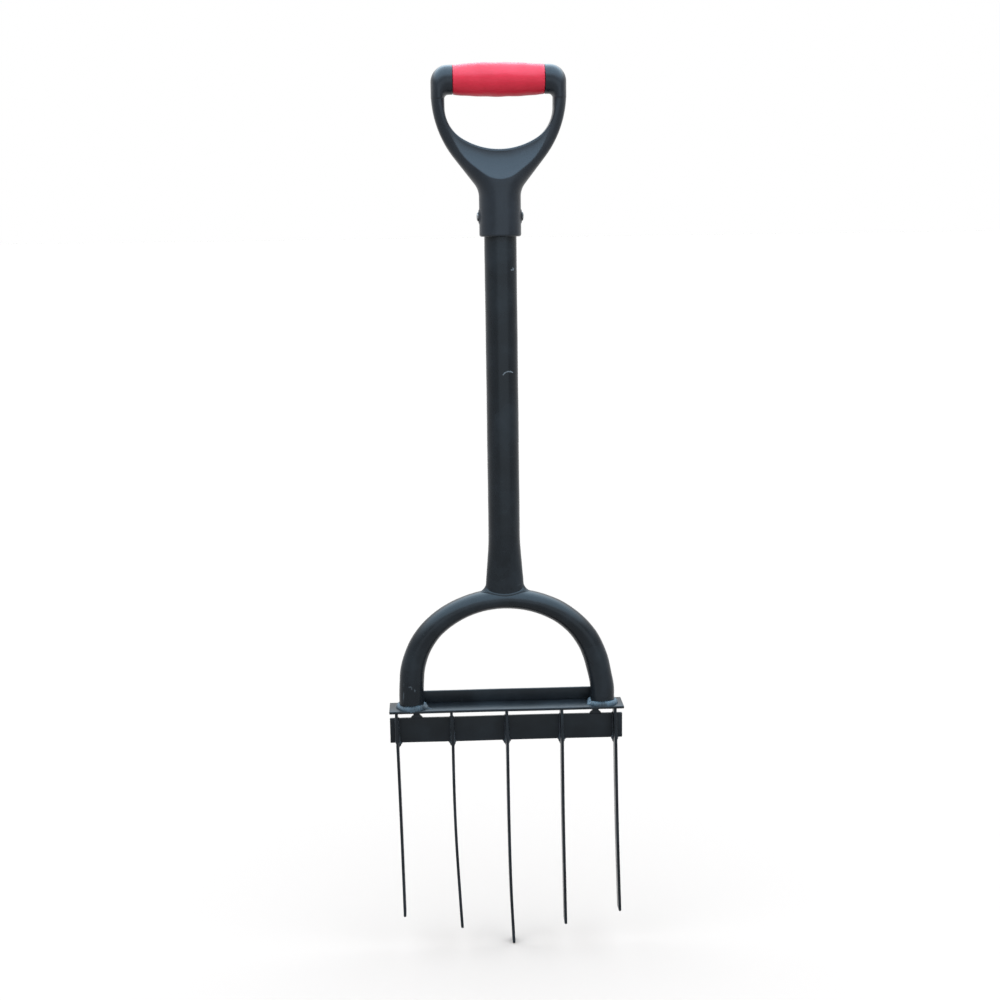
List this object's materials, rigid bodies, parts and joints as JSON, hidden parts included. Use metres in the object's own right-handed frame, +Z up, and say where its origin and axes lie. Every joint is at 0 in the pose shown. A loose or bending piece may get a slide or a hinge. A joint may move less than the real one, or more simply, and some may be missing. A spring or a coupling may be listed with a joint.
{
  "type": "lawn aerator fork",
  "caption": "Lawn aerator fork with a red-sleeved D-grip on a black steel shaft, an arched tubular foot frame, a step plate and a row of long flat tines.",
  "frame": {"origin": "on the shaft's axis, level with the tip of the longest (middle) tine", "axes": "+Z up the shaft to the grip, +X along the step plate and the row of tines, +Y to the rear, away from the tines"},
  "size_m": [0.241, 0.041, 0.9008],
  "materials": {
    "grip_plastic": "satin moulded black plastic, fine texture",
    "sleeve_red": "satin red soft-touch plastic",
    "rivet_steel": "blackened steel, semi-gloss",
    "painted_tube": "semi-gloss black paint over drawn tube, light scuffs",
    "painted_flat": "semi-gloss black paint over hot-rolled flat, worn edges",
    "painted_tine": "thin black paint over sheared strip",
    "painted_weld": "black paint over rippled weld bead"
  },
  "bodies": {
    "root": {"handle_frame": "grip_plastic", "grip_sleeve": "sleeve_red", "socket_rivet_left": "rivet_steel", "socket_rivet_right": "rivet_steel", "shaft_tube": "painted_tube", "arch_tube": "painted_tube", "step_plate": "painted_flat", "tine_bar": "painted_flat", "spacer_lug_left": "painted_flat", "spacer_lug_right": "painted_flat", "tine_1": "painted_tine", "tine_2": "painted_tine", "tine_3": "painted_tine", "tine_4": "painted_tine", "tine_5": "painted_tine", "shaft_weld": "painted_weld", "leg_weld_left": "painted_weld", "leg_weld_right": "painted_weld", "tine_weld_1": "painted_weld", "tine_weld_2": "painted_weld", "tine_weld_3": "painted_weld", "tine_weld_4": "painted_weld", "tine_weld_5": "painted_weld"}
  },
  "joints": []
}
